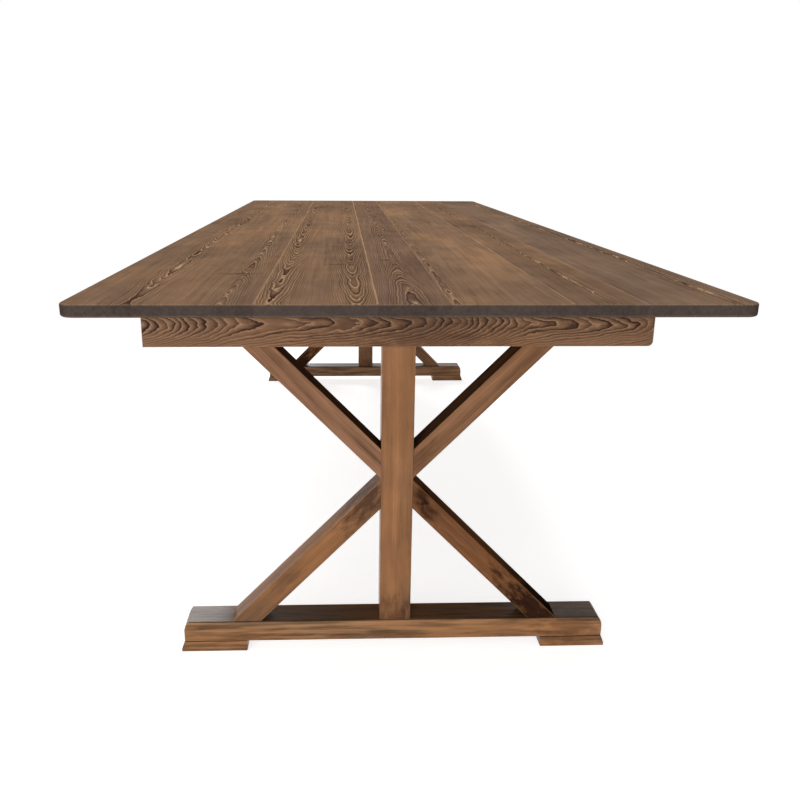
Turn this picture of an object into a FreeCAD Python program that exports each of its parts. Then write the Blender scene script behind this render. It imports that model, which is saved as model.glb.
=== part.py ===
import FreeCAD, Part
import math
import os

# A long plank-topped dining table on two X-shaped trestles that fold in under the top.
# Millimetres, +Z up, floor at z = 0, X across the table, Y along it, front trestle at -Y.
# Setbacks are distances in from the front end of the top, along the table.
V = FreeCAD.Vector

# Plank top
table_length = 2743.0
table_height = 762.0
top_thickness = 20.0
outer_plank_width = 171.0
narrow_plank_width = 107.0
wide_plank_width = 177.0
centre_plank_width = 106.0
top_corner_radius = 22.0
top_upper_round = 3.0
top_lower_round = 4.0
seam_chamfer = 0.8

# Under-frame: end aprons, side rails, hinge cleats and cross battens
side_overhang = 51.0
apron_setback = 274.0
apron_thickness = 28.0
apron_height = 105.0
apron_corner_round = 9.0
side_rail_thickness = 22.0
rail_tenon_length = 12.0
rail_tenon_thickness = 10.0
rail_tenon_height = 60.0
cleat_height = 32.0
batten_width = 70.0
batten_spacing = 500.0
batten_rows = (-1, 0, 1)

# Trestles
fold_clearance = 4.5
foot_depth = 66.0
foot_top = 65.5
pad_height = 21.3
pad_length = 132.5
pad_heel_round = 4.0
toe_flare = 6.0
toe_step = 6.0
shoulder_height = 24.0
shoulder_inset = 9.5
shoulder_bulge = 2.2
head_rail_height = 70.0
member_setback = 3.0
member_depth = 54.0
post_width = 62.0
brace_face = 42.0
brace_reach = 298.0
crossing_rise = 16.4
post_tenon_length = 25.0
post_tenon_width = 34.0
brace_tenon_length = 12.0
brace_tenon_width = 30.0
tenon_thickness = 22.0

# Butt hinges between cleat and head rail
hinge_spacing = 400.0
hinge_length = 100.0
knuckle_count = 5
knuckle_radius = 5.0
knuckle_relief = 0.5
knuckle_gap = 0.3
leaf_thickness = 2.5
fixed_leaf_height = 28.0
moving_leaf_height = 46.0
leaf_screw_margin = 14.0
pin_radius = 2.5
pin_head_radius = 3.6
pin_head_length = 1.5

# Slide bolts on the head rails and the blocks that they catch on
bolt_radius = 5.0
bolt_rise = 9.5
bolt_drop = 30.0
bolt_tail = 6.0
bolt_tip_chamfer = 1.5
bolt_plate_length = 96.0
bolt_plate_height = 36.0
bolt_plate_thickness = 2.5
bolt_plate_inset = 4.0
guide_width = 14.0
guide_wall = 3.0
guide_inset = 3.0
knob_lead = 18.0
knob_stem_radius = 3.0
knob_stem_length = 9.0
knob_radius = 6.0
lock_block_depth = 14.0
lock_block_land = 10.0
lock_screw_step = 10.0
lock_gap = 0.5
bolt_tip_gap = 2.0
rail_end_gap = 3.0

# Screws: long ones hold the planks, short ones the hardware and the foot pads
screw_radius = 2.0
screw_head_radius = 4.0
screw_head_depth = 2.4
screw_point = 4.0
short_screw_length = 28.0
long_screw_length = 42.0
screw_drive_width = 1.8
screw_drive_depth = 1.2
plate_screw_margin = 6.0
pad_screw_inset = 34.0
pad_screw_recess = 10.0
outer_screw_inset = 12.5

# Fits and edges
glue_gap = 0.15
seat_gap = 0.3
screw_gap = 0.1
running_gap = 0.05
edge_ease = 1.5
member_ease = 2.5
foot_ease = 3.5

# Places worked out from the sizes above
half_table_width = outer_plank_width + narrow_plank_width + wide_plank_width + centre_plank_width / 2
half_frame_width = half_table_width - side_overhang
rail_inner = half_frame_width - side_rail_thickness
front_end = -table_length / 2
underside = table_height - top_thickness
frame_bottom = underside - apron_height
apron_inner = apron_setback + apron_thickness
trestle_outer = apron_inner + seat_gap
trestle_inner = trestle_outer + foot_depth
member_outer = trestle_outer + member_setback
member_inner = member_outer + member_depth
member_middle = (member_outer + member_inner) / 2
hinge_z = underside - cleat_height
hinge_setback = trestle_inner + knuckle_relief + knuckle_radius
head_rail_top = hinge_z - seat_gap
head_rail_bottom = head_rail_top - head_rail_height
crossing_height = (foot_top + head_rail_bottom) / 2 + crossing_rise
half_head_rail = rail_inner - lock_block_depth - rail_end_gap
half_toe = rail_inner - fold_clearance
half_foot = half_toe - toe_flare
half_post = post_width / 2
bolt_setback = trestle_inner + bolt_rise
bolt_z = hinge_z - bolt_drop
bolt_lean = bolt_setback - hinge_setback
bolt_throw = rail_inner - bolt_tip_gap - half_head_rail

ALONG_X = V(1, 0, 0)
ALONG_Y = V(0, 1, 0)
ALONG_Z = V(0, 0, 1)
OPPOSITE = {"left": "right", "right": "left"}


def block(x0, x1, s0, s1, z0, z1):
    """A box between two widths, two setbacks and two heights."""
    return Part.makeBox(x1 - x0, s1 - s0, z1 - z0, V(x0, front_end + s0, z0))


def prism(edges, s0, s1):
    """An outline drawn across the table at setback s0, drawn out to setback s1."""
    return Part.Face(Part.Wire(edges)).extrude(V(0, s1 - s0, 0))


def lines(points):
    """Straight edges through the points, without closing the outline."""
    return [Part.LineSegment(a, b).toShape() for a, b in zip(points, points[1:])]


def rod(radius, start, direction, length):
    return Part.makeCylinder(radius, length, start, direction)


def at(x, setback, z):
    return V(x, front_end + setback, z)


def eased(shape, direction, radius):
    """Rounds every straight edge that runs in the given direction."""
    chosen = []
    for edge in shape.Edges:
        straight = edge.Curve.TypeId == "Part::GeomLine"
        if straight and abs(edge.tangentAt(edge.FirstParameter).dot(direction)) > 0.999:
            chosen.append(edge)
    return shape.makeFillet(radius, chosen)


def faces_outline(shape):
    """The edges round the front and back faces of a piece drawn across the table."""
    return [edge for edge in shape.Edges if edge.BoundBox.YLength < glue_gap]


def flipped(shape):
    """The same piece on the other side of the table's long centre line."""
    return shape.mirror(V(0, 0, 0), ALONG_X)


def as_built(shape):
    return shape


def turned(shape):
    """The same piece at the rear end of the table."""
    copy = shape.copy()
    copy.rotate(V(0, 0, 0), ALONG_Z, 180)
    return copy


def both_ends(shape):
    return [shape, turned(shape)]


def both_sides(shape):
    return [shape, flipped(shape)]


def together(shapes):
    return Part.makeCompound(shapes)


def save(name, shape):
    shape.exportStep(f"parts/{name}.step")


def screw_along(point, direction, length):
    """A countersunk wood screw with a square drive, its head flush at the point."""
    head = Part.makeCone(screw_head_radius, screw_radius, screw_head_depth)
    shank = Part.makeCylinder(screw_radius, length - screw_point)
    tip = Part.makeCone(screw_radius, 0, screw_point, V(0, 0, length - screw_point))
    drive_corner = V(-screw_drive_width / 2, -screw_drive_width / 2, 0)
    drive = Part.makeBox(screw_drive_width, screw_drive_width, screw_drive_depth, drive_corner)
    screw = head.fuse([shank, tip]).removeSplitter().cut(drive)
    screw.Placement = FreeCAD.Placement(point, FreeCAD.Rotation(ALONG_Z, direction))
    return screw


def screw_hole(point, direction, length):
    """The countersunk hole that takes such a screw."""
    head = Part.makeCone(screw_head_radius + screw_gap, screw_radius + screw_gap, screw_head_depth)
    shank = Part.makeCylinder(screw_radius + screw_gap, length + screw_gap)
    hole = head.fuse(shank)
    hole.Placement = FreeCAD.Placement(point, FreeCAD.Rotation(ALONG_Z, direction))
    return hole


def plank_blank():
    """The whole top: plan corners rounded, upper and lower edges softened."""
    blank = block(-half_table_width, half_table_width, 0, table_length, underside, table_height)
    blank = eased(blank, ALONG_Z, top_corner_radius)
    upper = [e for e in blank.Edges if e.BoundBox.ZMin > table_height - seam_chamfer]
    blank = blank.makeFillet(top_upper_round, upper)
    lower = [e for e in blank.Edges if e.BoundBox.ZMax < underside + seam_chamfer]
    return blank.makeFillet(top_lower_round, lower)


def plank_seams():
    """Widths at which the planks meet, from left to right, with the two long edges of the top."""
    widths = [outer_plank_width, narrow_plank_width, wide_plank_width, centre_plank_width]
    widths += [wide_plank_width, narrow_plank_width, outer_plank_width]
    seams = [-half_table_width]
    for width in widths:
        seams.append(seams[-1] + width)
    return seams


def seam_groove(x):
    """The small V left by the softened arrises of two neighbouring planks."""
    left = V(x - seam_chamfer, front_end, table_height)
    right = V(x + seam_chamfer, front_end, table_height)
    root = V(x, front_end, table_height - seam_chamfer)
    outline = lines([left, root, right, left])
    return prism(outline, 0, table_length)


def cross_members():
    """Name and setbacks of each piece that runs across under the planks."""
    members = [("hinge_cleat_front", apron_inner, trestle_inner)]
    for number, row in enumerate(batten_rows, start=1):
        middle = table_length / 2 + row * batten_spacing
        members.append((f"cross_batten_{number}", middle - batten_width / 2, middle + batten_width / 2))
    members.append(("hinge_cleat_rear", table_length - trestle_inner, table_length - apron_inner))
    return members


def end_apron():
    """Front apron, with one lower corner rounded and mortises for the side rails."""
    apron = block(-half_frame_width, half_frame_width, apron_setback, apron_inner, frame_bottom, underside)
    corner = [e for e in apron.Edges if e.BoundBox.XMin > rail_inner and e.BoundBox.ZMax < hinge_z
              and e.BoundBox.YLength > edge_ease]
    apron = eased(apron.makeFillet(apron_corner_round, corner), ALONG_X, edge_ease)
    return apron.cut(together(both_sides(rail_tenon(apron_inner, -1, glue_gap))))


def rail_tenon(setback, way, grow):
    """Stub tenon of the right side rail, running out of the rail's end in the given way."""
    x = (rail_inner + half_frame_width) / 2
    z = (frame_bottom + underside) / 2
    tip = setback + way * (rail_tenon_length + grow)
    half_thickness = rail_tenon_thickness / 2 + grow
    half_height = rail_tenon_height / 2 + grow
    return block(x - half_thickness, x + half_thickness, min(setback, tip), max(setback, tip),
                 z - half_height, z + half_height)


def side_rail():
    """Right side rail, tenoned into both aprons."""
    rail_end = table_length - apron_inner
    rail = block(rail_inner, half_frame_width, apron_inner, rail_end, frame_bottom, underside)
    rail = eased(rail, ALONG_Y, edge_ease)
    return rail.fuse([rail_tenon(apron_inner, -1, 0), rail_tenon(rail_end, 1, 0)])


def lock_block_span():
    """Setbacks of the block's outer face, against a standing bolt, and of its inner face."""
    return bolt_setback + bolt_radius + lock_gap, hinge_setback + bolt_drop + lock_block_land


def lock_block():
    """Right front block: its outer face stops a standing bolt, its top carries a folded one."""
    outer, inner = lock_block_span()
    top = hinge_z + bolt_lean - bolt_radius - lock_gap
    bottom = bolt_z - bolt_radius - lock_block_land
    body = block(rail_inner - lock_block_depth, rail_inner, outer, inner, bottom, top)
    return eased(body, ALONG_X, edge_ease)


def lock_block_screw_points():
    middle = sum(lock_block_span()) / 2
    x = rail_inner - lock_block_depth
    return [at(x, middle, bolt_z + offset) for offset in (-lock_screw_step / 2, lock_screw_step)]


def knuckle(x0, x1):
    return rod(knuckle_radius, at(x0, hinge_setback, hinge_z), ALONG_X, x1 - x0)


def hinge_leaf(middle, height, way, first):
    """One leaf of a hinge, above the pin (way 1) or below it (way -1), with its own knuckles."""
    start = middle - hinge_length / 2
    pitch = hinge_length / knuckle_count
    clear = knuckle_radius + knuckle_relief
    root = sorted((hinge_z + way * clear, hinge_z + way * height))
    leaf = block(start, start + hinge_length, trestle_inner, trestle_inner + leaf_thickness, *root)
    tab = sorted((hinge_z + way * seat_gap, hinge_z + way * clear))
    pieces = []
    for index in range(first, knuckle_count, 2):
        x0 = start + index * pitch + knuckle_gap / 2
        x1 = start + (index + 1) * pitch - knuckle_gap / 2
        pieces.append(block(x0, x1, trestle_inner, trestle_inner + leaf_thickness, *tab))
        pieces.append(knuckle(x0, x1))
    leaf = leaf.fuse(pieces).removeSplitter()
    bore = rod(pin_radius + running_gap, at(start, hinge_setback, hinge_z), ALONG_X, hinge_length)
    return leaf.cut(bore)


def leaf_screw_points(middle, height, way):
    reach = hinge_length / 2 - leaf_screw_margin
    clear = knuckle_radius + knuckle_relief
    z = hinge_z + way * (clear + height) / 2
    return [at(middle + step * reach, trestle_inner + leaf_thickness, z) for step in (-1, 0, 1)]


def hinge_pin(middle):
    start = middle - hinge_length / 2
    pin = rod(pin_radius, at(start, hinge_setback, hinge_z), ALONG_X, hinge_length + pin_head_length)
    head_at = at(start + hinge_length, hinge_setback, hinge_z)
    return pin.fuse(rod(pin_head_radius, head_at, ALONG_X, pin_head_length)).removeSplitter()


def brace_outline(way):
    """Corners of a right-hand brace, running up (way 1) or down (way -1) from the post."""
    slope = brace_reach / (crossing_height - foot_top)
    half_width = brace_face / 2 * math.hypot(1, slope)
    half_height = half_width / slope
    end_z = head_rail_bottom if way > 0 else foot_top
    end_x = slope * abs(end_z - crossing_height)
    post_z = crossing_height + way * half_post / slope
    corners = [(half_post, post_z + way * half_height), (end_x - half_width, end_z)]
    corners += [(end_x + half_width, end_z), (half_post, post_z - way * half_height)]
    return corners, end_x, end_z, post_z


def brace_tenons(way, grow):
    """Stub tenons of a right-hand brace, into the post and into the foot or head rail."""
    _, end_x, end_z, post_z = brace_outline(way)
    s0 = member_middle - tenon_thickness / 2 - grow
    s1 = member_middle + tenon_thickness / 2 + grow
    half = brace_tenon_width / 2 + grow
    length = brace_tenon_length + grow
    tip = sorted((end_z, end_z + way * length))
    into_post = block(half_post - length, half_post, s0, s1, post_z - half, post_z + half)
    into_rail = block(end_x - half, end_x + half, s0, s1, *tip)
    return into_post, into_rail


def brace(way):
    corners = brace_outline(way)[0]
    points = [at(x, member_outer, z) for x, z in corners]
    body = prism(lines(points + points[:1]), member_outer, member_inner)
    run = points[2] - points[3]
    run.normalize()
    return eased(body, run, member_ease).fuse(list(brace_tenons(way, 0)))


def post_tenon(way, grow):
    """Stub tenon at the post's head (way 1) or foot (way -1)."""
    z = head_rail_bottom if way > 0 else foot_top
    tip = sorted((z, z + way * (post_tenon_length + grow)))
    half = post_tenon_width / 2 + grow
    s0 = member_middle - tenon_thickness / 2 - grow
    s1 = member_middle + tenon_thickness / 2 + grow
    return block(-half, half, s0, s1, *tip)


def centre_post():
    post = block(-half_post, half_post, member_outer, member_inner, foot_top, head_rail_bottom)
    post = eased(post, ALONG_Z, member_ease)
    post = post.fuse([post_tenon(1, 0), post_tenon(-1, 0)])
    mortises = []
    for way in (1, -1):
        mortises += both_sides(brace_tenons(way, glue_gap)[0])
    return post.cut(together(mortises))


def head_rail():
    rail = block(-half_head_rail, half_head_rail, trestle_outer, trestle_inner,
                 head_rail_bottom, head_rail_top)
    rail = eased(rail, ALONG_X, edge_ease)
    mortises = both_sides(brace_tenons(1, glue_gap)[1]) + [post_tenon(1, glue_gap)]
    return rail.cut(together(mortises))


def foot_beam():
    """Beam across the floor, its shoulders rounded down at both ends."""
    shoulder_z = foot_top - shoulder_height
    upper_x = half_foot - shoulder_inset
    bulge_x = (half_foot + upper_x) / 2 + shoulder_bulge
    bulge_z = (foot_top + shoulder_z) / 2 + shoulder_bulge
    right = [at(half_foot, trestle_outer, shoulder_z), at(bulge_x, trestle_outer, bulge_z)]
    right.append(at(upper_x, trestle_outer, foot_top))
    left = [at(-upper_x, trestle_outer, foot_top), at(-bulge_x, trestle_outer, bulge_z)]
    left.append(at(-half_foot, trestle_outer, shoulder_z))
    lower_left = at(-half_foot, trestle_outer, pad_height)
    lower_right = at(half_foot, trestle_outer, pad_height)
    edges = [Part.Arc(*right).toShape()] + lines([right[2], left[0]]) + [Part.Arc(*left).toShape()]
    edges += lines([left[2], lower_left, lower_right, right[0]])
    beam = prism(edges, trestle_outer, trestle_inner)
    beam = beam.makeFillet(foot_ease, faces_outline(beam))
    mortises = both_sides(brace_tenons(-1, glue_gap)[1]) + [post_tenon(-1, glue_gap)]
    return beam.cut(together(mortises))


def foot_pad():
    """Right pad under the beam, its toe flared out to the floor and its heel eased."""
    heel = half_toe - pad_length
    heel_top = at(heel, trestle_outer, pad_height)
    heel_up = at(heel, trestle_outer, pad_heel_round)
    turn = pad_heel_round * (1 - math.sqrt(0.5))
    heel_middle = at(heel + turn, trestle_outer, turn)
    heel_floor = at(heel + pad_heel_round, trestle_outer, 0)
    toe_floor = at(half_toe, trestle_outer, 0)
    toe_up = at(half_toe, trestle_outer, toe_step)
    toe_top = at(half_foot, trestle_outer, pad_height)
    edges = lines([heel_top, heel_up]) + [Part.Arc(heel_up, heel_middle, heel_floor).toShape()]
    edges += lines([heel_floor, toe_floor, toe_up, toe_top, heel_top])
    return prism(edges, trestle_outer, trestle_inner)


def pad_screw_points():
    middle = (trestle_outer + trestle_inner) / 2
    heel = half_toe - pad_length
    places = (heel + pad_screw_inset, half_toe - pad_screw_inset)
    return [at(x, middle, pad_screw_recess) for x in places]


def pad_screw_wells():
    """Deep holes that take the screw heads up inside the pad."""
    radius = screw_head_radius + screw_gap
    wells = []
    for point in pad_screw_points():
        wells.append(rod(radius, V(point.x, point.y, 0), ALONG_Z, pad_screw_recess))
    return wells


def bolt_plate_ends():
    outer = half_head_rail - bolt_plate_inset
    return outer - bolt_plate_length, outer


def bolt_plate():
    """Right slide bolt's plate with its two guides, on the head rail's inner face."""
    inner, outer = bolt_plate_ends()
    face = trestle_inner + bolt_plate_thickness
    half_height = bolt_plate_height / 2
    plate = block(inner, outer, trestle_inner, face, bolt_z - half_height, bolt_z + half_height)
    plate = eased(plate, ALONG_Y, guide_inset)
    guide_radius = bolt_radius + guide_wall
    pieces = []
    for x in (inner + guide_inset, outer - guide_inset - guide_width):
        pieces.append(block(x, x + guide_width, face, bolt_setback,
                            bolt_z - guide_radius, bolt_z + guide_radius))
        pieces.append(rod(guide_radius, at(x, bolt_setback, bolt_z), ALONG_X, guide_width))
    plate = plate.fuse(pieces).removeSplitter()
    bore = rod(bolt_radius + running_gap, at(inner, bolt_setback, bolt_z), ALONG_X, bolt_plate_length)
    return plate.cut(bore)


def bolt_plate_screw_points():
    inner, outer = bolt_plate_ends()
    half_height = bolt_plate_height / 2 - plate_screw_margin
    guide_end = guide_inset + guide_width + plate_screw_margin
    face = trestle_inner + bolt_plate_thickness
    points = []
    for x in (inner + guide_end, outer - guide_end):
        for z in (bolt_z - half_height, bolt_z + half_height):
            points.append(at(x, face, z))
    return points


def bolt_rod():
    """Right slide bolt, drawn back, with the knob that moves it."""
    inner = bolt_plate_ends()[0]
    start = inner - bolt_tail
    length = half_head_rail - start
    axis_start = at(start, bolt_setback, bolt_z)
    shaft = rod(bolt_radius, axis_start, ALONG_X, length - bolt_tip_chamfer)
    tip_at = at(half_head_rail - bolt_tip_chamfer, bolt_setback, bolt_z)
    tip = Part.makeCone(bolt_radius, bolt_radius - bolt_tip_chamfer, bolt_tip_chamfer, tip_at, ALONG_X)
    knob_x = inner + guide_inset + guide_width + knob_lead
    stem = rod(knob_stem_radius, at(knob_x, bolt_setback, bolt_z), ALONG_Y, bolt_radius + knob_stem_length)
    knob_at = at(knob_x, bolt_setback + bolt_radius + knob_stem_length, bolt_z)
    knob = Part.makeSphere(knob_radius, knob_at)
    return shaft.fuse([tip, stem, knob]).removeSplitter()


def holes(points, direction):
    return [screw_hole(point, direction, short_screw_length) for point in points]


def screws(points, direction):
    return [screw_along(point, direction, short_screw_length) for point in points]


os.makedirs("parts", exist_ok=True)

# Planks, pierced from below by the screws of the cross members
seams = plank_seams()
screw_columns = [(a + b) / 2 for a, b in zip(seams, seams[1:])]
screw_columns[0] = outer_screw_inset - rail_inner
screw_columns[-1] = rail_inner - outer_screw_inset
long_points = {}
for name, s0, s1 in cross_members():
    long_points[name] = [at(x, (s0 + s1) / 2, hinge_z) for x in screw_columns]
long_holes = {}
for name, points in long_points.items():
    long_holes[name] = [screw_hole(point, ALONG_Z, long_screw_length) for point in points]
top = plank_blank().cut(together([seam_groove(x) for x in seams[1:-1]]))
for number, (x0, x1) in enumerate(zip(seams, seams[1:]), start=1):
    plank = top.common(block(x0, x1, 0, table_length, underside, table_height))
    pierced = [row[number - 1] for row in long_holes.values()]
    save(f"top_plank_{number}", plank.cut(together(pierced)))

# Hinge leaves on the left and right of each trestle
hinge_places = (-hinge_spacing / 2, hinge_spacing / 2)
fixed_points = []
moving_points = []
for middle in hinge_places:
    fixed_points += leaf_screw_points(middle, fixed_leaf_height, 1)
    moving_points += leaf_screw_points(middle, moving_leaf_height, -1)
toward_end = V(0, -1, 0)
fixed_holes = holes(fixed_points, toward_end)
moving_holes = holes(moving_points, toward_end)
for end, place in (("front", as_built), ("rear", turned)):
    for side, middle in zip(("left", "right"), hinge_places):
        world_side = side if end == "front" else OPPOSITE[side]
        fixed_leaf = hinge_leaf(middle, fixed_leaf_height, 1, 0).cut(together(fixed_holes))
        moving_leaf = hinge_leaf(middle, moving_leaf_height, -1, 1).cut(together(moving_holes))
        save(f"{end}_hinge_fixed_leaf_{world_side}", place(fixed_leaf))
        save(f"{end}_hinge_moving_leaf_{world_side}", place(moving_leaf))
pins = []
for middle in hinge_places:
    pins += both_ends(hinge_pin(middle))
save("hinge_pins", together(pins))

# Cleats and battens across the underside
for name, s0, s1 in cross_members():
    member = eased(block(-rail_inner, rail_inner, s0, s1, hinge_z, underside), ALONG_X, edge_ease)
    pierced = list(long_holes[name])
    if name == "hinge_cleat_front":
        pierced += fixed_holes
    if name == "hinge_cleat_rear":
        pierced += [turned(hole) for hole in fixed_holes]
    save(name, member.cut(together(pierced)))

# Aprons, side rails and lock blocks
save("end_apron_front", end_apron())
save("end_apron_rear", turned(end_apron()))
block_points = lock_block_screw_points()
block_holes = []
for hole in holes(block_points, ALONG_X):
    block_holes += both_ends(hole)
block_holes += [flipped(hole) for hole in block_holes]
rail = side_rail()
save("side_rail_right", rail.cut(together(block_holes)))
save("side_rail_left", flipped(rail).cut(together(block_holes)))
for end, place in (("front", as_built), ("rear", turned)):
    for side, hand in (("right", as_built), ("left", flipped)):
        world_side = side if end == "front" else OPPOSITE[side]
        save(f"{end}_lock_block_{world_side}", place(hand(lock_block())).cut(together(block_holes)))

# Screws of the fixed frame
long_screws = []
for points in long_points.values():
    long_screws += [screw_along(point, ALONG_Z, long_screw_length) for point in points]
save("top_screws", together(long_screws))
frame_screws = screws(fixed_points, toward_end)
for screw in screws(block_points, ALONG_X):
    frame_screws += both_sides(screw)
save("frame_screws", together(frame_screws + [turned(screw) for screw in frame_screws]))

# Both trestles, with their slide bolts
plate_points = bolt_plate_screw_points()
plate_holes = []
for hole in holes(plate_points, toward_end):
    plate_holes += both_sides(hole)
pad_holes = []
for hole in holes(pad_screw_points(), ALONG_Z) + pad_screw_wells():
    pad_holes += both_sides(hole)
trestle_screws = screws(moving_points, toward_end)
for screw in screws(plate_points, toward_end) + screws(pad_screw_points(), ALONG_Z):
    trestle_screws += both_sides(screw)
pierced_rail = head_rail().cut(together(moving_holes + plate_holes))
pierced_beam = foot_beam().cut(together(pad_holes))
for end, place in (("front", as_built), ("rear", turned)):
    save(f"{end}_head_rail", place(pierced_rail))
    save(f"{end}_post", place(centre_post()))
    save(f"{end}_foot_beam", place(pierced_beam))
    save(f"{end}_trestle_screws", place(together(trestle_screws)))
    for side, hand in (("right", as_built), ("left", flipped)):
        world_side = side if end == "front" else OPPOSITE[side]
        save(f"{end}_brace_upper_{world_side}", place(hand(brace(1))))
        save(f"{end}_brace_lower_{world_side}", place(hand(brace(-1))))
        save(f"{end}_foot_pad_{world_side}", place(hand(foot_pad()).cut(together(pad_holes))))
        save(f"{end}_bolt_plate_{world_side}", place(hand(bolt_plate()).cut(together(plate_holes))))
        save(f"{end}_bolt_{world_side}", place(hand(bolt_rod())))
print("bolt throw", bolt_throw, "hinge setback", hinge_setback, "hinge height", hinge_z)
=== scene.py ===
import math
import bmesh
import bpy
from mathutils import Matrix, Vector


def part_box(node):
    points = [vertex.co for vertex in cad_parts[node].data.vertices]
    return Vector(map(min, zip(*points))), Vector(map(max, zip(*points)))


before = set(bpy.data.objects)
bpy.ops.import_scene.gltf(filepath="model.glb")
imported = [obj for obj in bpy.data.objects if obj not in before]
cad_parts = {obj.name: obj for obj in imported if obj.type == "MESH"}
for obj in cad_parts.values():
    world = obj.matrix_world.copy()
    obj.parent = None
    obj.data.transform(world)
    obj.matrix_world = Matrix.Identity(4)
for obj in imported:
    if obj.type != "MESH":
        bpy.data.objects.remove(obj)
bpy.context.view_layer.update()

# The top: seven long pine planks, glued edge to edge, wire-brushed along the grain, stained walnut
# brown and finished with matt oil. Each plank is cut near the heart of its log, so a band of arched
# figure runs along it, and the sawn edges drink more stain than the faces do. The same dark is
# carried round the lower arris of every plank, and there it is painted shade.


def colour(red, green, blue):
    """A paint-chart colour, 0 to 255, as the linear light that a shader socket takes."""
    chart = [value / 255 for value in (red, green, blue)]
    return [c / 12.92 if c <= 0.04045 else ((c + 0.055) / 1.055) ** 2.4 for c in chart] + [1.0]


def fill(tree, socket, value):
    """Joins another socket to this one, or sets this one's own value."""
    if isinstance(value, bpy.types.NodeSocket):
        tree.links.new(value, socket)
    else:
        socket.default_value = value


def work(tree, operation, *values):
    """One arithmetic step of a pattern."""
    node = tree.nodes.new("ShaderNodeMath")
    node.operation = operation
    for socket, value in zip(node.inputs, values):
        fill(tree, socket, value)
    return node.outputs[0]


def vector_work(tree, operation, *values):
    """One step with places or directions."""
    node = tree.nodes.new("ShaderNodeVectorMath")
    node.operation = operation
    for socket, value in zip(node.inputs, values):
        fill(tree, socket, value)
    return node.outputs["Value" if operation in ("DOT_PRODUCT", "LENGTH") else "Vector"]


def swing(tree, value, amount):
    """A noise from 0 to 1, made to swing about nought by an amount."""
    return work(tree, "MULTIPLY", work(tree, "SUBTRACT", value, 0.5), amount)


def distance(tree, first, second):
    """The length of two offsets at right angles."""
    squares = work(tree, "ADD", work(tree, "POWER", first, 2.0), work(tree, "POWER", second, 2.0))
    return work(tree, "SQRT", squares)


def fade(tree, value, start, end, low=0.0, high=1.0):
    """A soft step from low to high as value goes from start to end."""
    node = tree.nodes.new("ShaderNodeMapRange")
    node.interpolation_type = "SMOOTHSTEP"
    for socket, setting in zip(node.inputs, (value, start, end, low, high)):
        fill(tree, socket, setting)
    return node.outputs[0]


def tint(tree, amount, first, second, blend="MIX"):
    """Two colours mixed by an amount."""
    node = tree.nodes.new("ShaderNodeMix")
    node.data_type = "RGBA"
    node.blend_type = blend
    fill(tree, node.inputs[0], amount)
    fill(tree, node.inputs[6], first)
    fill(tree, node.inputs[7], second)
    return node.outputs[2]


def cloud(tree, place, waves, seed, detail=2.0, roughness=0.5):
    """Noise with so many waves per metre across, along and through the board."""
    stretched = vector_work(tree, "MULTIPLY", place, waves)
    shift = tree.nodes.new("ShaderNodeCombineXYZ")
    for socket in shift.inputs:
        fill(tree, socket, seed)
    noise = tree.nodes.new("ShaderNodeTexNoise")
    noise.inputs["Scale"].default_value = 1.0
    noise.inputs["Detail"].default_value = detail
    noise.inputs["Roughness"].default_value = roughness
    tree.links.new(vector_work(tree, "ADD", stretched, shift.outputs[0]), noise.inputs["Vector"])
    return noise


def parts_of(tree, place):
    """The across, along and through parts of a place."""
    split = tree.nodes.new("ShaderNodeSeparateXYZ")
    tree.links.new(place, split.inputs[0])
    return split.outputs


def new_group(name, inputs, outputs):
    """An empty node group with named sockets; returns the tree, its inputs and its outputs."""
    tree = bpy.data.node_groups.new(name, "ShaderNodeTree")
    for socket_name, kind, default in inputs:
        socket = tree.interface.new_socket(socket_name, in_out="INPUT", socket_type="NodeSocket" + kind)
        if default is not None:
            socket.default_value = default
    for socket_name, kind in outputs:
        tree.interface.new_socket(socket_name, in_out="OUTPUT", socket_type="NodeSocket" + kind)
    start = tree.nodes.new("NodeGroupInput")
    end = tree.nodes.new("NodeGroupOutput")
    return tree, start.outputs, end.inputs


# One eye in the figure, where a small branch lifts the growth rings into ovals, or a dark patch in the stain;
# at the post's foot and at the foot's end that dark patch is painted shade
eye_group, given, result = new_group(
    "pine_eye",
    [("Place", "Vector", None), ("Across", "Float", 0.0), ("Along", "Float", 0.0),
     ("Size", "Float", 0.02), ("Rings", "Float", 3.0), ("Core", "Float", 0.0), ("Squash", "Float", 0.24)],
    [("Lift", "Float"), ("Core", "Float")])
t = eye_group
swell_power = 1.6
core_reach = 0.42
core_raggedness = 0.9
core_waves = (70.0, 30.0, 70.0)
x, y = parts_of(t, given["Place"])[:2]
off_x = work(t, "DIVIDE", work(t, "SUBTRACT", x, given["Across"]), given["Size"])
off_y = work(t, "DIVIDE", work(t, "SUBTRACT", y, given["Along"]), given["Size"])
off_y = work(t, "MULTIPLY", off_y, given["Squash"])
span = distance(t, off_x, off_y)
swell = work(t, "EXPONENT", work(t, "MULTIPLY", work(t, "POWER", span, swell_power), -1.0))
fill(t, result["Lift"], work(t, "MULTIPLY", swell, given["Rings"]))
ragged = cloud(t, given["Place"], core_waves, 0.0, 3.0, 0.6).outputs[0]
ragged = work(t, "ADD", span, swing(t, ragged, core_raggedness))
fill(t, result["Core"], work(t, "MULTIPLY", fade(t, ragged, core_reach, 0.0), given["Core"]))

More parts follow.
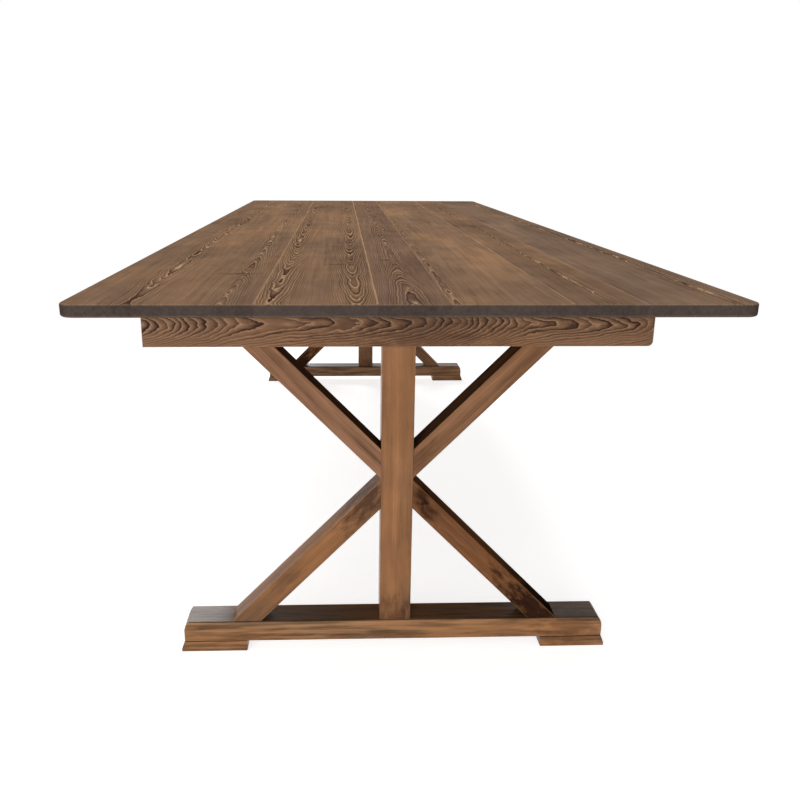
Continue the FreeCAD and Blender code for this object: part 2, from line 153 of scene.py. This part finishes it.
# The wood itself. Growth rings stand round a heart that wanders under the face of the board, so they
# come up as arches where the face is cut flat to them and as straight lines where it isn't.
pine_group, given, result = new_group(
    "stained_pine",
    [("Place", "Vector", None), ("Seed", "Float", 0.0), ("Heart Side", "Float", 0.0),
     ("Second Heart", "Float", 5.0), ("Heart Depth", "Float", 0.012), ("Sway", "Float", 0.020),
     ("Run", "Float", 8.0), ("Surge", "Float", 12.0), ("Surge Waves", "Float", 1.6),
     ("Flutter", "Float", 1.6), ("Ring Width", "Float", 0.0045), ("Lift", "Float", 0.0),
     ("Core", "Float", 0.0), ("End", "Float", 0.0), ("Worn", "Float", 0.0), ("Painted Top Shade", "Float", 0.0),
     ("Figure", "Float", 1.0), ("Plain", "Float", 0.25), ("Streaks", "Float", 0.28),
     ("Bands", "Float", 0.0), ("Clouds", "Float", 0.45), ("Chatter", "Float", 0.30),
     ("Flames", "Float", 0.0), ("Wood", "Color", None), ("Dark", "Color", None),
     ("Pale", "Color", None), ("Warm", "Color", None), ("Warmth", "Float", 0.5),
     ("End Stain", "Color", None), ("Gloss Low", "Float", 0.36), ("Gloss High", "Float", 0.56)],
    [("Color", "Color"), ("Roughness", "Float"), ("Height", "Float")])
t = pine_group
heart_waves = 2.0
slow_bend = 2.6
flat_power = 1.6
fibre_amount = 0.65


def pine_noise(waves, detail=3.0, roughness=0.6):
    """One of the wood's own noises, told apart from board to board by the seed."""
    return cloud(pine_group, given["Place"], waves, given["Seed"], detail, roughness).outputs[0]


x, y, z = parts_of(t, given["Place"])
waves = t.nodes.new("ShaderNodeCombineXYZ")
for socket, value in zip(waves.inputs, (heart_waves, given["Surge Waves"], heart_waves)):
    fill(t, socket, value)
wander = t.nodes.new("ShaderNodeSeparateColor")
wander_noise = cloud(t, given["Place"], waves.outputs[0], given["Seed"], 1.0)
t.links.new(wander_noise.outputs["Color"], wander.inputs[0])
side_way, first_surge, second_surge = wander.outputs[:3]
side = swing(t, side_way, given["Sway"])
across = work(t, "ADD", work(t, "SUBTRACT", x, given["Heart Side"]), side)
second_across = work(t, "SUBTRACT", work(t, "SUBTRACT", x, given["Second Heart"]), side)
nearer = work(t, "LESS_THAN", work(t, "ABSOLUTE", second_across), work(t, "ABSOLUTE", across))
to_second = work(t, "SUBTRACT", second_across, across)
across = work(t, "ADD", across, work(t, "MULTIPLY", nearer, to_second))
deep = work(t, "ADD", z, given["Heart Depth"])
radius = distance(t, across, deep)
surge_gap = work(t, "SUBTRACT", second_surge, first_surge)
surge = work(t, "ADD", first_surge, work(t, "MULTIPLY", nearer, surge_gap))
surge = swing(t, surge, given["Surge"])
jag = pine_noise((46.0, 18.0, 46.0))
bend = pine_noise((15.0, 5.0, 15.0), 2.0, 0.5)
flutter = work(t, "ADD", work(t, "SUBTRACT", jag, 0.5), swing(t, bend, slow_bend))
flutter = work(t, "MULTIPLY", flutter, given["Flutter"])
count = work(t, "ADD", work(t, "DIVIDE", radius, given["Ring Width"]), work(t, "MULTIPLY", y, given["Run"]))
for step in (surge, flutter, given["Lift"]):
    count = work(t, "ADD", count, step)
ring = work(t, "FRACT", count)
year = t.nodes.new("ShaderNodeTexWhiteNoise")
year.noise_dimensions = "1D"
fill(t, year.inputs["W"], work(t, "ADD", work(t, "FLOOR", count), given["Seed"]))
vigour = fade(t, year.outputs["Value"], 0.0, 1.0, 0.45, 1.0)
flatness = work(t, "DIVIDE", work(t, "ABSOLUTE", deep), work(t, "ADD", radius, 0.001))
flatness = work(t, "POWER", flatness, flat_power)
faint = work(t, "MULTIPLY", given["Plain"], 0.10)
beside = fade(t, work(t, "ABSOLUTE", across), 0.015, 0.060, given["Plain"], faint)
strength = work(t, "ADD", beside, work(t, "MULTIPLY", flatness, given["Figure"]))
strength = work(t, "MULTIPLY", strength, vigour)
late = work(t, "MULTIPLY", fade(t, ring, 0.25, 0.95, 0.0, 0.9), strength)
pale = work(t, "MULTIPLY", fade(t, ring, 0.26, 0.10), strength)
broad = pine_noise((7.0, 2.2, 7.0), 3.0, 0.5)
warm = work(t, "MULTIPLY", fade(t, broad, 0.42, 0.66), given["Warmth"])
streak = pine_noise((130.0, 2.6, 130.0))
fibre = pine_noise((330.0, 7.0, 330.0))
chatter = pine_noise((17.0, 10.0, 17.0), 4.0)
band = pine_noise((36.0, 1.4, 36.0), 2.0, 0.5)
flame = fade(t, pine_noise((95.0, 8.0, 95.0)), 0.36, 0.64)
shade = swing(t, streak, given["Streaks"])
for pattern, amount in ((fibre, fibre_amount), (broad, given["Clouds"]), (chatter, given["Chatter"]),
                        (band, given["Bands"]), (flame, given["Flames"])):
    shade = work(t, "ADD", shade, swing(t, pattern, amount))
tone = tint(t, warm, given["Wood"], given["Warm"])
# an eye's core darkens the wood; at the post's foot and at the foot's end that is painted shade
for amount, stain in ((late, "Dark"), (pale, "Pale"), (given["Core"], "Dark"),
                      (given["End"], "End Stain"), (given["Worn"], "Pale")):
    tone = tint(t, amount, tone, given[stain])
level = t.nodes.new("ShaderNodeCombineColor")
# Painted Top Shade darkens the upward faces as painted shade; a negative amount lightens them as painted light
light = work(t, "MULTIPLY", work(t, "ADD", shade, 1.0), work(t, "SUBTRACT", 1.0, given["Painted Top Shade"]))
for socket in level.inputs[:3]:
    fill(t, socket, light)
fill(t, result["Color"], tint(t, 1.0, tone, level.outputs[0], "MULTIPLY"))
smooth = work(t, "ADD", shade, 0.5)
fill(t, result["Roughness"], fade(t, smooth, 0.2, 0.8, given["Gloss High"], given["Gloss Low"]))
relief = work(t, "ADD", work(t, "MULTIPLY", fibre, 0.5), work(t, "MULTIPLY", streak, 0.35))
fill(t, result["Height"], work(t, "SUBTRACT", relief, work(t, "MULTIPLY", late, 0.5)))

brush_depth = 0.0012
coat_roughness = 0.15
twin_seed = 2.3
glue_line = (0.0018, 0.0008)


def bare_tree(owner):
    """The empty node tree of a new material or world."""
    owner.use_nodes = True
    owner.node_tree.nodes.clear()
    return owner.node_tree


def board_material(name, along, face, centre, eyes=(), turned_pair=False, brushed=0.35, coat=0.2,
                   shine=0.35, seams=None, round_corners=False, wear=0.5, shelf=0.0, **look):
    """Stained pine for one board: along its length, with face the way that its best side looks."""
    material = bpy.data.materials.new(name)
    tree = bare_tree(material)
    along = Vector(along).normalized()
    face = Vector(face).normalized()
    turn = Matrix((along.cross(face), along, face))
    coords = tree.nodes.new("ShaderNodeTexCoord")
    place = coords.outputs["Object"]
    outward = coords.outputs["Normal"]
    seed = look.pop("Seed", 0.0)
    # a board of the rear end is the front one turned half round, with other grain
    if turned_pair:
        end = work(tree, "SIGN", parts_of(tree, place)[1])
        half_turn = tree.nodes.new("ShaderNodeCombineXYZ")
        fill(tree, half_turn.inputs[0], work(tree, "MULTIPLY", end, -1.0))
        fill(tree, half_turn.inputs[1], work(tree, "MULTIPLY", end, -1.0))
        half_turn.inputs[2].default_value = 1.0
        place = vector_work(tree, "MULTIPLY", place, half_turn.outputs[0])
        outward = vector_work(tree, "MULTIPLY", outward, half_turn.outputs[0])
        seed = work(tree, "ADD", work(tree, "MULTIPLY", end, twin_seed), seed)
    mapping = tree.nodes.new("ShaderNodeMapping")
    mapping.inputs["Location"].default_value = -(turn @ Vector(centre))
    mapping.inputs["Rotation"].default_value = turn.to_euler()
    tree.links.new(place, mapping.inputs["Vector"])
    place = mapping.outputs[0]
    pine = tree.nodes.new("ShaderNodeGroup")
    pine.node_tree = pine_group
    tree.links.new(place, pine.inputs["Place"])
    fill(tree, pine.inputs["Seed"], seed)
    for socket, value in look.items():
        pine.inputs[socket.replace("_", " ")].default_value = value
    sums = {}
    for eye_values in eyes:
        eye = tree.nodes.new("ShaderNodeGroup")
        eye.node_tree = eye_group
        tree.links.new(place, eye.inputs["Place"])
        for socket, value in zip(list(eye.inputs)[1:], eye_values):
            socket.default_value = value
        for effect in ("Lift", "Core"):
            own = eye.outputs[effect]
            sums[effect] = work(tree, "ADD", sums[effect], own) if effect in sums else own
    for effect, total in sums.items():
        tree.links.new(total, pine.inputs[effect])
    facing = []
    for axis in turn:
        facing.append(work(tree, "ABSOLUTE", vector_work(tree, "DOT_PRODUCT", outward, tuple(axis))))
    if round_corners:
        faceward = vector_work(tree, "DOT_PRODUCT", outward, tuple(face))
        # the end stain covers the rounded edges and is carried round the lower arris almost to the flat
        # underside; on that lower arris it is painted shade
        end = work(tree, "MULTIPLY", fade(tree, faceward, 0.68, 0.45), fade(tree, faceward, -0.985, -0.93))
        squarest = work(tree, "MAXIMUM", facing[2], fade(tree, facing[2], 0.35, 0.10))
    else:
        end = fade(tree, facing[1], 0.45, 0.8)
        squarest = work(tree, "MAXIMUM", work(tree, "MAXIMUM", facing[0], facing[1]), facing[2])
    tree.links.new(end, pine.inputs["End"])
    worn = work(tree, "MULTIPLY", fade(tree, squarest, 0.96, 0.76), wear)
    if seams is not None:
        left_edge, left_line, right_edge, right_line = seams
        inner, outer = glue_line
        across = parts_of(tree, place)[0]
        left = fade(tree, across, left_edge + inner, left_edge + outer, 0.0, left_line)
        right = fade(tree, across, right_edge - inner, right_edge - outer, 0.0, right_line)
        line = work(tree, "MULTIPLY", work(tree, "MAXIMUM", left, right), fade(tree, facing[1], 0.5, 0.2))
        worn = work(tree, "MAXIMUM", worn, line)
    tree.links.new(worn, pine.inputs["Worn"])
    # the upward faces get painted shade by this amount, and painted light where the amount is negative
    if shelf:
        upward = vector_work(tree, "DOT_PRODUCT", coords.outputs["Normal"], (0, 0, 1))
        tree.links.new(fade(tree, upward, 0.35, 0.68, 0.0, shelf), pine.inputs["Painted Top Shade"])
    bump = tree.nodes.new("ShaderNodeBump")
    bump.inputs["Strength"].default_value = brushed
    bump.inputs["Distance"].default_value = brush_depth
    tree.links.new(pine.outputs["Height"], bump.inputs["Height"])
    finish = tree.nodes.new("ShaderNodeBsdfPrincipled")
    finish.inputs["Specular IOR Level"].default_value = shine
    finish.inputs["Coat Weight"].default_value = coat
    finish.inputs["Coat Roughness"].default_value = coat_roughness
    tree.links.new(pine.outputs["Color"], finish.inputs["Base Color"])
    tree.links.new(pine.outputs["Roughness"], finish.inputs["Roughness"])
    tree.links.new(bump.outputs[0], finish.inputs["Normal"])
    out = tree.nodes.new("ShaderNodeOutputMaterial")
    tree.links.new(finish.outputs[0], out.inputs["Surface"])
    return material


def dress(node_name, material):
    """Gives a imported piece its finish."""
    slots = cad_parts[node_name].data.materials
    slots.clear()
    slots.append(material)


top_height = 0.762
plank_edges = (-0.508, -0.337, -0.230, -0.053, 0.053, 0.230, 0.337, 0.508)
top_stain = dict(Wood=colour(122, 97, 78), Dark=colour(64, 45, 34), Pale=colour(170, 138, 107),
                 Warm=colour(133, 101, 74), Warmth=0.5, End_Stain=colour(73, 63, 58),
                 Clouds=0.65, Chatter=0.65, Bands=0.12, Streaks=0.65, Ring_Width=0.0036,
                 Gloss_Low=0.46, Gloss_High=0.62)
# how plainly each glue line shows, from the left edge to the right one
seam_lines = (0.0, 0.35, 0.85, 0.95, 0.35, 0.65, 0.30, 0.0)
# each plank's own figure and stain; an eye is across, along, size, rings, core and squash
plank_figures = (
    dict(Heart_Side=0.014, Heart_Depth=0.015, Run=-9.0, Surge=9.0, Figure=0.70, Plain=0.40, Seed=3.1,
         eyes=((-0.03, -0.25, 0.08, 1.0, 0.35, 3.0),)),
    dict(Heart_Side=0.006, Heart_Depth=0.010, Run=9.0, Surge=9.0, Figure=0.75, Plain=0.32, Seed=11.7,
         eyes=((0.0, -1.06, 0.120, 1.5, 0.55, 2.6), (0.01, -0.30, 0.08, 1.5, 0.4, 3.0))),
    dict(Heart_Side=-0.062, Second_Heart=0.058, Heart_Depth=0.012, Run=-15.0, Surge=9.0, Figure=0.95,
         Plain=0.40, Seed=23.4,
         eyes=((0.055, -0.12, 0.016, 4.0, 0.2, 0.3), (0.025, -0.93, 0.07, 1.0, 0.6, 3.0),
               (-0.03, -0.55, 0.06, 1.0, 0.5, 3.0))),
    dict(Heart_Side=0.000, Heart_Depth=0.015, Run=12.0, Surge=12.0, Figure=0.75, Plain=0.38, Seed=31.9,
         Wood=colour(114, 90, 75), Warm=colour(121, 94, 74),
         eyes=((0.004, -0.2, 0.014, 3.0, 0.3, 0.3), (0.0, 0.35, 0.014, 3.0, 0.3, 0.3),
               (-0.01, -0.86, 0.09, 1.5, 0.6, 3.0))),
    dict(Heart_Side=-0.080, Heart_Depth=0.008, Run=5.0, Surge=3.5, Figure=0.7, Plain=0.25, Seed=43.2,
         Wood=colour(127, 101, 81), Warm=colour(150, 114, 83), Warmth=0.45,
         eyes=((0.03, -0.9, 0.006, 2.0, 0.9, 1.0), (0.055, -1.1, 0.005, 2.0, 0.9, 2.0))),
    dict(Heart_Side=0.006, Heart_Depth=0.007, Run=3.0, Surge=8.0, Figure=0.9, Plain=0.30, Seed=52.6,
         eyes=((0.0, -0.5, 0.009, 2.0, 0.0, 0.2),)),
    dict(Heart_Side=0.050, Heart_Depth=0.012, Run=3.0, Surge=7.0, Figure=0.9, Plain=0.40, Seed=67.3,
         Wood=colour(119, 97, 81), Warm=colour(128, 103, 83)),
)
planks = zip(plank_edges, plank_edges[1:], seam_lines, seam_lines[1:], plank_figures)
for number, (left, right, left_line, right_line, figure) in enumerate(planks, start=1):
    half = (right - left) / 2
    dress(f"top_plank_{number}", board_material(
        f"top_plank_pine_{number}", (0, 1, 0), (0, 0, 1), ((left + right) / 2, 0, top_height),
        brushed=0.5, coat=0.0, shine=0.0, seams=(-half, left_line, half, right_line),
        round_corners=True, wear=0.12, **{**top_stain, **figure}))

# The end aprons and side rails: planed pine boards on edge that close the frame under the top. The
# rails are tenoned into the aprons. They are stained a warmer brown than the top, over bold figure.
frame_stain = dict(Wood=colour(141, 105, 78), Dark=colour(56, 34, 23), Pale=colour(166, 130, 100),
                   Warm=colour(128, 86, 52), Warmth=0.6, End_Stain=colour(72, 50, 36))
frame_finish = dict(brushed=0.3, coat=0.04, shine=0.08)
apron_low, apron_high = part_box("end_apron_front")
apron_place = (0.0, apron_low[1], (apron_low[2] + apron_high[2]) / 2)
apron_dark_middle = (0.02, 0.03, 0.35, 0.0, 0.48, 0.6)
apron_pine = board_material(
    "apron_pine", (1, 0, 0), (0, -1, 0), apron_place, (apron_dark_middle,), turned_pair=True,
    Seed=5.0, Heart_Side=0.012, Heart_Depth=0.020, Sway=0.012, Run=42.0, Surge=20.0, Surge_Waves=3.0,
    Flutter=2.4, Ring_Width=0.0044, Figure=0.95, Plain=0.42, Clouds=0.9, **frame_finish, **frame_stain)
dress("end_apron_front", apron_pine)
dress("end_apron_rear", apron_pine)
for side, out in (("left", -1), ("right", 1)):
    rail_low, rail_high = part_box(f"side_rail_{side}")
    rail_place = (rail_low[0] if out < 0 else rail_high[0], 0.0, (rail_low[2] + rail_high[2]) / 2)
    dress(f"side_rail_{side}", board_material(
        f"side_rail_pine_{side}", (0, 1, 0), (out, 0, 0), rail_place, Seed=8.0 + out, Heart_Side=0.01,
        Heart_Depth=0.010, Run=-6.0, Figure=0.8, Plain=0.3, **frame_finish, **frame_stain))

# The trestles: each is a post between a head rail and a broad foot, with four braces tenoned in to
# make the X. They are planed smooth and stained golden brown, and the feet are lacquered.
trestle_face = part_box("front_post")[0][1]
trestle_stain = dict(Wood=colour(142, 101, 66), Dark=colour(84, 50, 26), Pale=colour(176, 132, 88),
                     Warm=colour(148, 98, 54), Warmth=0.6, End_Stain=colour(96, 66, 42),
                     Gloss_Low=0.26, Gloss_High=0.42)
post_middle = 0.36
# a dark patch at the bottom of the post: painted shade
post_painted_shade_at_foot = (0.0, -0.30, 0.18, 0.0, 0.75, 1.0)
post_stain = {**trestle_stain, "Wood": colour(131, 94, 66), "Warm": colour(136, 92, 56)}
post_pine = board_material(
    "post_pine", (0, 0, 1), (0, -1, 0), (0, trestle_face, post_middle), (post_painted_shade_at_foot,),
    turned_pair=True, brushed=0.12, coat=0.08, shine=0.10, Seed=14.0, Figure=0.0, Plain=0.0,
    Streaks=0.45, Bands=0.8, Clouds=1.1, Chatter=1.1, Flames=0.22, **post_stain)
dress("front_post", post_pine)
dress("rear_post", post_pine)
crossing = (0.0, trestle_face, 0.369)
brace_reach = 0.298
brace_rise = 0.3035
# the braces' upper faces are darkened: painted shade from under the top
brace_stain_and_top_shade = dict(coat=0.0, shelf=0.75, **trestle_stain)
brace_looks = {
    ("upper", "left"): dict(Seed=21.0, Wood=colour(152, 112, 86), Dark=colour(88, 56, 38)),
    ("upper", "right"): dict(
        Seed=22.0, Wood=colour(157, 114, 84), Dark=colour(80, 50, 34),
        eyes=((0.0, 0.05, 0.10, 0.0, 0.35, 0.5),)),
    # the lower left brace's upper face is lightened instead: painted light
    ("lower", "left"): dict(
        Seed=23.0, coat=0.30, shelf=-0.35, Wood=colour(114, 83, 60), Dark=colour(58, 36, 24),
        eyes=((0.012, 0.075, 0.14, 1.0, 0.9, 0.6), (0.006, 0.30, 0.06, 0.0, 0.3, 0.4))),
    ("lower", "right"): dict(
        Seed=24.0, shelf=0.5, Wood=colour(122, 82, 56), Dark=colour(54, 33, 23),
        eyes=((-0.010, 0.062, 0.060, 1.0, 0.9, 0.9), (0.006, 0.092, 0.070, 1.0, 0.8, 0.9),
              (0.0, 0.42, 0.32, 0.0, 1.15, 0.75))),
}
for (level, hand), look in brace_looks.items():
    reach = brace_reach if hand == "right" else -brace_reach
    rise = brace_rise if level == "upper" else -brace_rise
    brace_pine = board_material(
        f"brace_pine_{level}_{hand}", (reach, 0, rise), (0, -1, 0), crossing, turned_pair=True,
        brushed=0.15, shine=0.0, Heart_Side=0.03, Heart_Depth=0.03, Run=3.0, Surge=5.0,
        Ring_Width=0.008, Figure=0.06, Plain=0.06, Streaks=0.6, Bands=1.0, Clouds=1.2, Chatter=0.5, Flames=0.22,
        **{**brace_stain_and_top_shade, **look})
    other = {"left": "right", "right": "left"}[hand]
    dress(f"front_brace_{level}_{hand}", brace_pine)
    dress(f"rear_brace_{level}_{other}", brace_pine)
foot_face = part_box("front_foot_beam")[0][1]
foot_middle = 0.045
# a dark patch at the foot's right end: painted shade
foot_painted_shade_at_end = (0.0, 0.36, 0.24, 0.0, 0.55, 0.9)
# the foot's upper faces are darkened: painted shade from under the top
foot_pine = board_material(
    "foot_pine", (1, 0, 0), (0, -1, 0), (0, foot_face, foot_middle), (foot_painted_shade_at_end,),
    turned_pair=True, brushed=0.15, coat=0.27, shine=0.05, shelf=0.65, Seed=37.0, Heart_Side=0.03,
    Heart_Depth=0.03, Run=3.0, Surge=8.0, Ring_Width=0.009, Figure=0.0, Plain=0.0, Streaks=1.2,
    Bands=1.2, Clouds=0.4, Flames=0.7, **{**trestle_stain, "Wood": colour(148, 110, 77)})
for end in ("front", "rear"):
    for piece in ("foot_beam", "foot_pad_left", "foot_pad_right"):
        dress(f"{end}_{piece}", foot_pine)
head_rail_middle = 0.675
head_pine = board_material(
    "head_rail_pine", (1, 0, 0), (0, -1, 0), (0, trestle_face, head_rail_middle), turned_pair=True,
    brushed=0.2, coat=0.2, Seed=35.0, Heart_Side=0.03, Heart_Depth=0.03, Figure=0.6, Plain=0.3,
    **trestle_stain)
dress("front_head_rail", head_pine)
dress("rear_head_rail", head_pine)

# The cleats, battens and lock blocks under the top: plain pine, sawn and stained but not lacquered,
# because only hands that fold the table meet them. Screws go up through them into every plank.
batten_stain = dict(Wood=colour(126, 94, 68), Dark=colour(92, 64, 44), Pale=colour(156, 122, 92),
                    Warm=colour(140, 102, 70), Warmth=0.5, End_Stain=colour(84, 62, 46),
                    Gloss_Low=0.55, Gloss_High=0.75, Heart_Side=0.01, Heart_Depth=0.02,
                    Figure=0.6, Plain=0.3)


def dress_underside(name, along, seed):
    """Finishes a piece whose best side looks down."""
    low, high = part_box(name)
    middle = ((low[0] + high[0]) / 2, (low[1] + high[1]) / 2, low[2])
    dress(name, board_material(name + "_pine", along, (0, 0, -1), middle, brushed=0.4, coat=0.0,
                               Seed=seed, **batten_stain))


cross_pieces = ("hinge_cleat_front", "hinge_cleat_rear", "cross_batten_1", "cross_batten_2", "cross_batten_3")
for number, name in enumerate(cross_pieces):
    dress_underside(name, (1, 0, 0), 41.0 + number * 3.3)
for end in ("front", "rear"):
    for side in ("left", "right"):
        dress_underside(f"{end}_lock_block_{side}", (0, 1, 0), 61.0)

# The hinges, slide bolts and screws: pressed and turned steel, bright zinc plated. Brush marks run
# across the leaves, and the plating is duller where it has been handled.
bright_zinc = colour(196, 196, 192)
dull_zinc = colour(168, 170, 170)
zinc = bpy.data.materials.new("zinc_plate")
tree = bare_tree(zinc)
coords = tree.nodes.new("ShaderNodeTexCoord")
brush = cloud(tree, coords.outputs["Object"], (40.0, 900.0, 900.0), 1.0, 2.0).outputs[0]
haze = cloud(tree, coords.outputs["Object"], (60.0, 60.0, 60.0), 4.0, 3.0).outputs[0]
plate = tree.nodes.new("ShaderNodeBsdfPrincipled")
plate.inputs["Metallic"].default_value = 1.0
fill(tree, plate.inputs["Base Color"], tint(tree, fade(tree, haze, 0.35, 0.7), bright_zinc, dull_zinc))
handled = work(tree, "ADD", work(tree, "MULTIPLY", haze, 0.6), work(tree, "MULTIPLY", brush, 0.4))
fill(tree, plate.inputs["Roughness"], fade(tree, handled, 0.3, 0.7, 0.24, 0.42))
bump = tree.nodes.new("ShaderNodeBump")
bump.inputs["Strength"].default_value = 0.1
bump.inputs["Distance"].default_value = 0.0004
fill(tree, bump.inputs["Height"], brush)
fill(tree, plate.inputs["Normal"], bump.outputs[0])
out = tree.nodes.new("ShaderNodeOutputMaterial")
fill(tree, out.inputs["Surface"], plate.outputs[0])
dress("hinge_pins", zinc)
dress("top_screws", zinc)
dress("frame_screws", zinc)
for end in ("front", "rear"):
    dress(f"{end}_trestle_screws", zinc)
    for side in ("left", "right"):
        for piece in ("hinge_fixed_leaf", "hinge_moving_leaf", "bolt_plate", "bolt"):
            dress(f"{end}_{piece}_{side}", zinc)

# The studio: a wide pale floor that runs off into a white ground and is clear from below, a broad soft
# light overhead, a softer one in front, and a tall window behind on the left that the feet mirror.
floor_radius = 14.0
floor_drop = 0.0005
floor_grey = (0.86, 0.86, 0.86, 1)
floor_glow = 0.70
floor_mesh = bpy.data.meshes.new("floor")
shape = bmesh.new()
bmesh.ops.create_circle(shape, cap_ends=True, segments=64, radius=floor_radius)
bmesh.ops.translate(shape, verts=shape.verts, vec=(0, 0, -floor_drop))
shape.to_mesh(floor_mesh)
shape.free()
floor = bpy.data.objects.new("floor", floor_mesh)
bpy.context.scene.collection.objects.link(floor)


def seen_rays(tree):
    """The light path, and 1 on it for rays that show the ground to the eye, a mirror or glass."""
    path = tree.nodes.new("ShaderNodeLightPath").outputs
    seen = work(tree, "MAXIMUM", path["Is Camera Ray"], path["Is Glossy Ray"])
    return path, work(tree, "MAXIMUM", seen, path["Is Transmission Ray"])


def mixed(tree, amount, first, second):
    """Two shaders mixed by an amount."""
    node = tree.nodes.new("ShaderNodeMixShader")
    for socket, value in zip(node.inputs, (amount, first, second)):
        fill(tree, socket, value)
    return node.outputs[0]


pale_floor = bpy.data.materials.new("pale_floor")
tree = bare_tree(pale_floor)
path, seen = seen_rays(tree)
matt = tree.nodes.new("ShaderNodeBsdfDiffuse")
matt.inputs["Color"].default_value = floor_grey
glow = tree.nodes.new("ShaderNodeEmission")
fill(tree, glow.inputs["Strength"], work(tree, "MULTIPLY", seen, floor_glow))
near_floor = tree.nodes.new("ShaderNodeAddShader")
fill(tree, near_floor.inputs[0], matt.outputs[0])
fill(tree, near_floor.inputs[1], glow.outputs[0])
white = tree.nodes.new("ShaderNodeEmission")
coords = tree.nodes.new("ShaderNodeTexCoord")
oval = vector_work(tree, "MULTIPLY", coords.outputs["Object"], (1.0, 0.6, 0.0))
far = fade(tree, vector_work(tree, "LENGTH", oval), 0.4, 1.6)
upper_side = mixed(tree, work(tree, "MULTIPLY", seen, far), near_floor.outputs[0], white.outputs[0])
under = tree.nodes.new("ShaderNodeNewGeometry")
clear = tree.nodes.new("ShaderNodeBsdfTransparent")
from_below = work(tree, "MULTIPLY", under.outputs["Backfacing"], path["Is Camera Ray"])
out = tree.nodes.new("ShaderNodeOutputMaterial")
fill(tree, out.inputs["Surface"], mixed(tree, from_below, upper_side, clear.outputs[0]))
floor_mesh.materials.append(pale_floor)

room_level = 0.30
room_lean = (-0.08, -0.10, 0.05)
world = bpy.data.worlds.new("studio")
bpy.context.scene.world = world
tree = bare_tree(world)
seen = seen_rays(tree)[1]
soft = tree.nodes.new("ShaderNodeBackground")
sky = tree.nodes.new("ShaderNodeTexCoord")
lean = vector_work(tree, "DOT_PRODUCT", sky.outputs["Generated"], room_lean)
fill(tree, soft.inputs["Strength"], work(tree, "ADD", lean, room_level))
ground = tree.nodes.new("ShaderNodeBackground")
for background in (soft, ground):
    background.inputs["Color"].default_value = (1, 1, 1, 1)
out = tree.nodes.new("ShaderNodeOutputWorld")
fill(tree, out.inputs["Surface"], mixed(tree, seen, soft.outputs[0], ground.outputs[0]))


def soft_light(name, place, aim, width, height, power):
    """A flat lamp that looks from its place at its aim."""
    lamp = bpy.data.lights.new(name, "AREA")
    lamp.shape = "RECTANGLE"
    lamp.size = width
    lamp.size_y = height
    lamp.energy = power
    holder = bpy.data.objects.new(name, lamp)
    holder.location = place
    holder.visible_camera = False
    holder.rotation_euler = (Vector(aim) - Vector(place)).to_track_quat("-Z", "Y").to_euler()
    bpy.context.scene.collection.objects.link(holder)


soft_light("overhead_light", (-0.4, -0.2, 3.6), (-0.4, -0.2, 0), 2.6, 4.2, 77)
soft_light("window_light", (-1.3, 4.4, 2.2), (-0.3, 0.0, 0.4), 1.9, 3.2, 116)
soft_light("front_light", (-0.5, -3.4, 0.85), (0, -1.0, 0.45), 3.0, 1.2, 33)

# The camera: held at the front end, a little left of the middle and above the top, and looking down
# along the table. The picture is cropped off centre, so the lens is shifted a little sideways.
camera_place = (-0.1046, -2.52979, 0.96577)
yaw = math.radians(2.1121)
pitch = math.radians(16.6216)
roll = math.radians(-0.35)
camera = bpy.data.cameras.new("camera")
camera.lens = 36.963
camera.sensor_width = 36.0
camera.shift_x = 0.036
view = bpy.data.objects.new("camera", camera)
forward = Vector((math.sin(yaw) * math.cos(pitch), math.cos(yaw) * math.cos(pitch), -math.sin(pitch)))
level = Vector((math.cos(yaw), -math.sin(yaw), 0))
right = level * math.cos(roll) + forward.cross(level) * math.sin(roll)
up = right.cross(forward)
turned = Matrix((right, up, -forward)).transposed().to_4x4()
view.matrix_world = Matrix.Translation(camera_place) @ turned
bpy.context.scene.collection.objects.link(view)
bpy.context.scene.camera = view
bpy.context.scene.view_settings.view_transform = "Standard"
